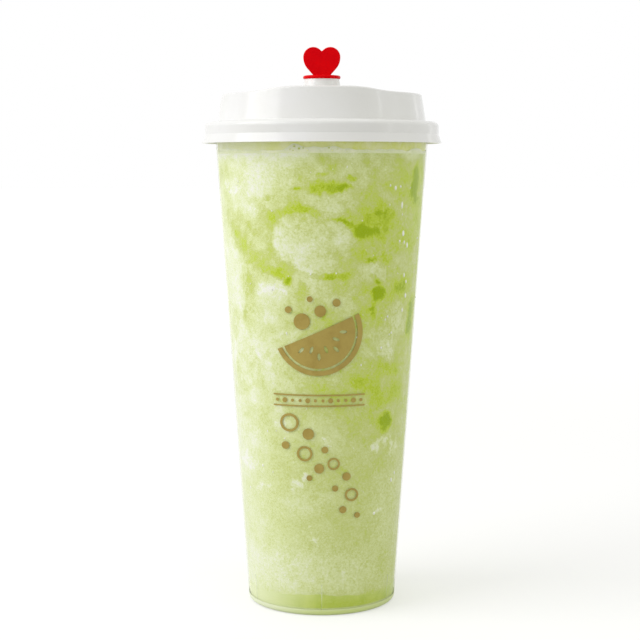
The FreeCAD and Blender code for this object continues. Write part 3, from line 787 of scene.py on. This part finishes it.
def makeBubbles():
    rng = random.Random(bubbleShape["seed"])
    bead = beadMaster()
    smallest, largest = bubbleShape["wallSizes"]
    low, high = bubbleShape["wallHeights"]
    spots = list(bubbleShape["listed"])
    for _ in range(bubbleShape["wallCount"]):
        # more of them high up, and more of them small
        height = low + (high - low) * rng.random() ** 0.7
        spots.append((rng.uniform(-180, 180), height, smallest + (largest - smallest) * rng.random() ** 2))
    beads = [placedCopy(bead, onWallMatrix(turn, height, 0.2 * mm, size * rng.uniform(0.6, 1.1),
                                           bubbleShape["wallDepth"], size * rng.uniform(0.9, 1.7)))
             for turn, height, size in spots]
    # near-white beads: partly the bubbles' own pale look, partly painted highlight where they catch the
    # light
    finishPiece(joinPieces(beads, "air_bubbles"),
                bubbleMaterial("airBubbleHighlight", tone(250, 252, 240), drinkTones["cream"]))

    # domes on the froth's top
    domes = []
    smallest, largest = bubbleShape["topSizes"]
    floor = frothHigh.z - frothShape["edgeDrop"]
    for _ in range(bubbleShape["topCount"]):
        size = smallest + (largest - smallest) * rng.random() ** 2.2
        reach = (innerWall(floor) - bubbleShape["topMargin"]) * math.sqrt(rng.random())
        angle = rng.uniform(0, math.tau)
        spot = Matrix.Translation((reach * math.cos(angle), reach * math.sin(angle), floor))
        domes.append(placedCopy(bead, spot @ Matrix.Rotation(math.radians(90), 4, "X")
                                @ Matrix.Diagonal((size, size * 0.7, size, 1))))
    finishPiece(joinPieces(domes, "foam_domes"),
                bubbleMaterial("foamDome", drinkTones["cream"], drinkTones["froth"]))

    # open bubbles against the wall in the froth: a pale rim round a darker hollow
    deselect()
    bpy.ops.mesh.primitive_torus_add(major_radius=1 * mm, minor_radius=0.26 * mm, major_segments=28,
                                     minor_segments=10, rotation=facingFront)
    rim = newest("rim")
    bpy.ops.object.transform_apply(location=True, rotation=True, scale=True)
    smooth(rim, 80)
    rims = [placedCopy(rim, onWallMatrix(turn, height, 0.3 * mm, size, 0.5, size))
            for turn, height, size in bubbleShape["open"]]
    hollows = [placedCopy(bead, onWallMatrix(turn, height, 0.16 * mm, size, 0.2, size))
               for turn, height, size in bubbleShape["open"]]
    finishPiece(joinPieces(rims, "bubble_rims"),
                bubbleMaterial("bubbleRim", tone(232, 236, 206), drinkTones["froth"]))
    finishPiece(joinPieces(hollows, "bubble_hollows"),
                bubbleMaterial("bubbleHollow", drinkTones["film"], drinkTones["juice"]))
    for master in (bead, rim):
        bpy.data.objects.remove(master)


# the cup, its lid and the heart plug: solids of the frame with better finishes
cupLook = {
    "colour": tone(244, 248, 236),
    "footColour": tone(214, 228, 146),
    "footPaintedLight": tone(236, 243, 206),      # painted light on its left side
    "footTop": 2.65 * mm,
    "ribTop": 13.2 * mm,
    "ribCount": 6,
    "veil": 0.012,           # how much of the plastic shows in front of the drink
    "footVeil": 0.97,
    "ribVeil": 0.5,
    "edgeVeil": 0.37,        # seen edge on, and what is added to it low down
    "lowEdgeVeil": 0.6,
    "roughness": 0.30,
}


def finishCup():
    material, place = newMaterial("frostedCup")
    height = place.axis("Z")
    footTop, ribTop = cupLook["footTop"], cupLook["ribTop"]
    # sharp: a slow edge would shade the juice behind it
    foot = height.range(footTop + 0.01 * mm, footTop - 0.01 * mm)
    # painted highlight: the top of the foot a little whiter, as a light line along it
    footTopHighlight = height.range(1.7 * mm, 2.3 * mm)
    low = height.range(9 * mm, 3.5 * mm)
    turns = place.sum("ARCTAN2", place.axis("X"), place.axis("Y")) * cupLook["ribCount"]
    ribs = place.sum("COSINE", turns).range(0.99915, 0.99922) * height.range(ribTop, ribTop - 1 * mm)
    haze = place.noise(900, 3.0, 0.6)
    patches = place.noise(60, 3.0, 0.55).range(0.35, 0.65)
    scuffs = place.warped(200, 2 * mm).noise(240, 4.0, 0.65).range(0.68, 0.84)
    facing = place.node("ShaderNodeLayerWeight", None, {"Blend": 0.35}, "Facing")
    veil = cupLook["veil"] + foot * cupLook["footVeil"] + ribs * cupLook["ribVeil"]
    veil = veil + patches * 0.008 + scuffs * 0.02
    veil = veil + (facing ** 2) * (low * (facing ** 2) * cupLook["lowEdgeVeil"] + cupLook["edgeVeil"])
    # the foot paler on its left side: painted light from the lamp
    footTint = place.axis("X").range(4 * mm, -28 * mm).blend(cupLook["footColour"], cupLook["footPaintedLight"])
    tint = (foot * (1 - footTopHighlight * 0.2) + (1 - foot) * low * 0.8 + ribs * 0.4).min(1.0)
    tint = tint.blend(cupLook["colour"], footTint)
    surface(place, {"Base Color": tint, "Roughness": cupLook["roughness"] + haze * 0.08,
                    "Alpha": veil.min(1.0), "IOR": 1.49, "Normal": haze.bump(0.06, 0.05)})
    refinish("cup", material)


lidLook = {
    "colour": (0.866, 0.866, 0.858),
    "cloudy": tone(237, 237, 234),
    "handled": tone(230, 230, 225),
    "roughness": 0.13,
}


def finishLid():
    material, place = newMaterial("whiteLid")
    grain = place.noise(1500, 2.0, 0.5)
    cloud = place.noise(38, 3.0, 0.5)
    handled = place.warped(90, 5 * mm).noise(160, 4.0, 0.6).range(0.60, 0.78)
    base = cloud.range(0.35, 0.65).blend(lidLook["colour"], lidLook["cloudy"])
    base = (handled * 0.35).blend(base, lidLook["handled"])
    surface(place, {"Base Color": base, "Roughness": lidLook["roughness"] + handled * 0.08 + grain * 0.05,
                    "IOR": 1.49, "Normal": (grain * 0.3 + cloud * 0.7).bump(0.05, 0.3)})
    refinish("lid", material)


plugLook = {
    "colour": (0.79, 0.0, 0.003),
    "deeper": (0.73, 0.0, 0.004),
    "roughness": 0.2,
    "gloss": 0.05,           # low, so that the pale floor doesn't grey the red
}


def finishPlug():
    material, place = newMaterial("redPlug")
    grain = place.noise(1800, 2.0, 0.5)
    flow = place.warped(150, 3 * mm).noise(190, 3.0, 0.5).range(0.35, 0.68)
    base = flow.blend(plugLook["deeper"], plugLook["colour"])
    surface(place, {"Base Color": base, "Roughness": plugLook["roughness"] + grain * 0.06 + flow * 0.04,
                    "IOR": 1.5, "Specular IOR Level": plugLook["gloss"],
                    "Normal": (grain * 0.4 + flow * 0.6).bump(0.05, 0.2)})
    refinish("heart_plug", material)


# the gold print: a melon slice, a beaded ribbon and a stream of rings and dots
# what has no mm is in millimetres: places to the right of the middle and up, and radii
printShape = {
    "colour": tone(178, 157, 78),
    "deeper": tone(166, 143, 66),
    "glint": tone(192, 176, 104),
    "proud": 0.03 * mm,
    "thick": 0.08 * mm,
    "drawnAt": -60 * mm,                 # in front, where it is flat, before it is laid on the wall
    "sliceCentre": (-1.4, 113.0),
    "sliceRadius": 17.0,
    "rind": 1.9,
    "gap": 0.9,
    "tilt": 24,                          # degrees that its flat side leans
    "seeds": 7,
    "seedFan": 22,                       # degrees from seed to seed
    "seedPlaces": (9.6, 7.4),            # from the slice's centre, by turns
    "seedSize": (0.62, 2.3),             # radius, and how many times longer than wide
    "balls": [(-7.6, 117.0, 3.1), (-0.6, 121.0, 2.2), (5.6, 124.2, 1.5), (-12.8, 121.4, 1.3),
              (-4.6, 125.6, 1.1)],
    "ribbon": [(88.4, 0.55), (84.2, 0.55)],      # height and width of its two lines
    "ribbonMiddle": -1.0,
    "ribbonHalf": 17.6,
    "beads": 12,
    "beadSizes": (0.6, 0.95, 0.6),
    # right, up, radius, and the width of the ring or 0 for a full dot
    "stream": [(-12.5, 77.5, 3.6, 0.9), (-5.2, 73.2, 2.2, 0), (-14.0, 68.4, 1.5, 0), (-6.6, 65.4, 3.0, 0.8),
               (1.2, 67.0, 1.3, 0), (-1.0, 59.6, 1.9, 0), (4.6, 61.4, 2.4, 0.7), (-4.8, 55.8, 1.1, 0),
               (9.6, 56.2, 1.6, 0), (5.2, 51.6, 1.2, 0), (11.6, 48.8, 2.6, 0.75), (8.2, 43.0, 1.4, 0),
               (13.8, 40.4, 1.1, 0)],
}


def flatDisc(right, up, radius, sides=56):
    deselect()
    bpy.ops.mesh.primitive_circle_add(vertices=sides, radius=radius * mm, fill_type="NGON",
                                      location=(right * mm, printShape["drawnAt"], up * mm),
                                      rotation=facingFront)
    piece = newest("print")
    bpy.ops.object.transform_apply(location=True, rotation=True, scale=True)
    return piece


def openRing(piece, width):
    # leaves a rim of this width of a flat disc
    selectFaces(piece, lambda face: True)
    bpy.ops.mesh.inset(thickness=width * mm)
    bpy.ops.mesh.delete(type="FACE")
    bpy.ops.object.mode_set(mode="OBJECT")


def keepBelow(piece, right, up, tilt):
    # cuts away what lies above a leaning line through this point
    lean = math.radians(tilt)
    pick(piece)
    bpy.ops.object.mode_set(mode="EDIT")
    bpy.ops.mesh.select_all(action="SELECT")
    bpy.ops.mesh.bisect(plane_co=(right * mm, printShape["drawnAt"], up * mm),
                        plane_no=(-math.sin(lean), 0, math.cos(lean)), clear_outer=True)
    bpy.ops.object.mode_set(mode="OBJECT")


def flatBar(right, up, half, tall):
    deselect()
    bpy.ops.mesh.primitive_plane_add(size=1, location=(right * mm, printShape["drawnAt"], up * mm),
                                     rotation=facingFront)
    piece = newest("print")
    piece.scale = (2 * half * mm, tall * mm, 1)
    bpy.ops.object.transform_apply(location=True, rotation=True, scale=True)
    selectFaces(piece, lambda face: True)
    bpy.ops.mesh.bevel(offset=tall * 0.45 * mm, segments=4, affect="VERTICES")
    bpy.ops.object.mode_set(mode="OBJECT")
    return piece


def seedHoles(flesh, right, up):
    # seed-shaped openings through the slice, which is thickened for the cut and made flat again
    depth = 4 * mm
    pick(flesh)
    bpy.ops.object.mode_set(mode="EDIT")
    bpy.ops.mesh.select_all(action="SELECT")
    bpy.ops.mesh.extrude_region_move(TRANSFORM_OT_translate={"value": (0, depth, 0)})
    bpy.ops.mesh.select_all(action="SELECT")
    bpy.ops.mesh.normals_make_consistent(inside=False)
    bpy.ops.object.mode_set(mode="OBJECT")
    seeds = []
    count = printShape["seeds"]
    radius, longer = printShape["seedSize"]
    for index in range(count):
        lean = math.radians(-90 + printShape["tilt"] + (index - (count - 1) / 2) * printShape["seedFan"])
        reach = printShape["seedPlaces"][index % 2]
        deselect()
        bpy.ops.mesh.primitive_cylinder_add(vertices=28, radius=radius * mm, depth=5 * depth,
                                            rotation=facingFront)
        seed = newest("seed")
        bpy.ops.object.transform_apply(location=True, rotation=True, scale=True)
        spot = Matrix.Translation(((right + reach * math.cos(lean)) * mm, printShape["drawnAt"] + depth / 2,
                                   (up + reach * math.sin(lean)) * mm))
        seed.data.transform(spot @ Matrix.Rotation(math.pi / 2 - lean, 4, "Y")
                            @ Matrix.Diagonal((1, 1, longer, 1)))
        seeds.append(seed)
    cutter = joinPieces(seeds, "seeds")
    holes = flesh.modifiers.new("holes", "BOOLEAN")
    holes.operation = "DIFFERENCE"
    holes.solver = "EXACT"
    holes.object = cutter
    applyModifiers(flesh)
    bpy.data.objects.remove(cutter)
    selectFaces(flesh, lambda face: face.normal.y > -0.9)
    bpy.ops.mesh.delete(type="FACE")
    bpy.ops.object.mode_set(mode="OBJECT")


def makePrint():
    right, up = printShape["sliceCentre"]
    radius, rind, tilt = printShape["sliceRadius"], printShape["rind"], printShape["tilt"]
    shell = flatDisc(right, up, radius, 96)
    openRing(shell, rind)
    keepBelow(shell, right, up, tilt)
    flesh = flatDisc(right, up, radius - rind - printShape["gap"], 96)
    keepBelow(flesh, right, up, tilt)
    seedHoles(flesh, right, up)
    parts = [shell, flesh]
    parts += [flatDisc(*ball) for ball in printShape["balls"]]
    middle, half, beads = printShape["ribbonMiddle"], printShape["ribbonHalf"], printShape["beads"]
    parts += [flatBar(middle, height, half, tall) for height, tall in printShape["ribbon"]]
    between = sum(height for height, tall in printShape["ribbon"]) / 2
    for index in range(beads):
        place = middle + (index + 0.5 - beads / 2) * 2 * half / beads
        parts.append(flatDisc(place, between, printShape["beadSizes"][index % 3], 32))
    for place, height, size, width in printShape["stream"]:
        dot = flatDisc(place, height, size)
        if width:
            openRing(dot, width)
        parts.append(dot)
    piece = joinPieces(parts, "gold_print")
    # enough points for it to follow the wall
    cutAcross(piece, [0.8 * mm * step for step in range(-24, 25)], (1, 0, 0))
    cutAcross(piece, [3 * mm * step for step in range(12, 44)])
    wrap = piece.modifiers.new("wrap", "SHRINKWRAP")
    wrap.wrap_method = "PROJECT"
    wrap.use_project_y = True
    wrap.use_positive_direction = True
    wrap.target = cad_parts["cup"]
    wrap.wrap_mode = "ABOVE_SURFACE"
    wrap.offset = printShape["proud"]
    solid = piece.modifiers.new("thickness", "SOLIDIFY")
    solid.thickness = printShape["thick"]
    solid.offset = -1
    applyModifiers(piece)
    smooth(piece, 30)
    finishPiece(piece, goldMaterial())


def goldMaterial():
    material, place = newMaterial("matteGold")
    grain = place.noise(1900, 2.0, 0.6)
    worn = place.warped(160, 3 * mm).noise(170, 4.0, 0.6).range(0.40, 0.72)
    base = worn.blend(printShape["colour"], printShape["deeper"])
    base = (grain.range(0.5, 0.8) * 0.4).blend(base, printShape["glint"])
    surface(place, {"Base Color": base, "Metallic": 0.35, "Roughness": 0.45 + grain * 0.1,
                    "Normal": grain.bump(0.12, 0.05)})
    return material


# the studio: a flat pale floor, soft daylight, one large lamp on the left and three weak ones
studio = {
    "daylight": (0.75, 0.75, 0.72),
    # name: watts, width and height in metres, place, colour
    "lamps": {"softbox": (8.3, 1.0, 1.0, (-1.02, -0.36, 0.86), (1.0, 0.99, 1.03)),
              "fill": (0.7, 0.9, 0.9, (1.10, -0.32, 0.50), (1.0, 0.98, 0.95)),
              "strip": (0.4, 0.05, 0.9, (1.05, -0.42, 0.35), (1.0, 1.0, 1.0)),
              "rearStrip": (0.22, 0.07, 0.9, (0.85, 0.75, 0.35), (1.0, 1.0, 1.0))},
    "lampsAim": (0, 0, 0.11),
    "frontGloss": (0.03, 0.03, 0.03),      # what gloss shows of the side that the camera is on
    "floor": 0.60,
    "floorRadius": 12,
    "floorGlow": 0.44,                     # near the object, and further out
    "farGlow": 0.62,
    "cameraPlace": (-0.00068, -0.606, 0.1751),
    "cameraTilt": 84.23,
    "lens": 84.7,
}


def ray(place, name):
    return place.node("ShaderNodeLightPath", None, None, name)


def makeStudio():
    world = bpy.data.worlds.new("daylight")
    bpy.context.scene.world = world
    world.use_nodes = True
    world.node_tree.nodes.clear()
    place = Wire(world.node_tree, world.node_tree.nodes.new("ShaderNodeTexCoord").outputs["Generated"])
    # gloss shows the white backdrop, and the dark side of the studio behind the camera
    behind = place.axis("Y").range(-0.75, 0.15)
    mirrored = behind.blend(studio["frontGloss"], (1.0, 1.0, 1.0))
    tint = ray(place, "Is Glossy Ray").blend(studio["daylight"], mirrored)
    tint = ray(place, "Is Camera Ray").max(ray(place, "Is Transmission Ray")).blend(tint, (1.0, 1.0, 1.0))
    sky = place.node("ShaderNodeBackground", None, {"Color": tint, "Strength": 1.0})
    place.node("ShaderNodeOutputWorld", None, {"Surface": sky})

    deselect()
    bpy.ops.mesh.primitive_circle_add(vertices=96, radius=studio["floorRadius"], fill_type="NGON")
    floor = newest("studio_floor")
    material, spot = newMaterial("paleFloor")
    away = spot.node("ShaderNodeVectorMath", {"operation": "LENGTH"}, {0: spot}, "Value").range(0.25, 1.6)
    seen = ray(spot, "Is Camera Ray").max(ray(spot, "Is Glossy Ray")).max(ray(spot, "Is Transmission Ray"))
    glow = seen * (studio["floorGlow"] + away * (studio["farGlow"] - studio["floorGlow"]))
    shade = studio["floor"]
    shader = spot.node("ShaderNodeBsdfDiffuse", None, {"Color": (shade, shade, shade, 1)})
    light = spot.node("ShaderNodeEmission", None, {"Color": (1, 1, 1, 1), "Strength": glow})
    both = spot.node("ShaderNodeAddShader", None, {0: shader, 1: light})
    spot.node("ShaderNodeOutputMaterial", None, {"Surface": both})
    floor.data.materials.append(material)

    for name, (watts, width, tall, spotPlace, colour) in studio["lamps"].items():
        lamp = bpy.data.lights.new(name, "AREA")
        lamp.energy = watts
        lamp.shape = "RECTANGLE"
        lamp.size = width
        lamp.size_y = tall
        lamp.color = colour
        holder = bpy.data.objects.new(name, lamp)
        bpy.context.scene.collection.objects.link(holder)
        holder.location = spotPlace
        aim = Vector(studio["lampsAim"]) - holder.location
        holder.rotation_euler = aim.to_track_quat("-Z", "Y").to_euler()

    camera = bpy.data.cameras.new("camera")
    camera.lens = studio["lens"]
    camera.sensor_width = 36
    holder = bpy.data.objects.new("camera", camera)
    bpy.context.scene.collection.objects.link(holder)
    holder.location = studio["cameraPlace"]
    holder.rotation_euler = (math.radians(studio["cameraTilt"]), 0, 0)
    bpy.context.scene.camera = holder
    bpy.context.scene.view_settings.view_transform = "Standard"


makeJuice()
makeSmoothie()
print("drink made")
makeFroth()
makeFilm()
makeBubbles()
print("froth and bubbles made")
finishCup()
finishLid()
finishPlug()
makePrint()
print("cup, lid, plug and print finished")
makeStudio()
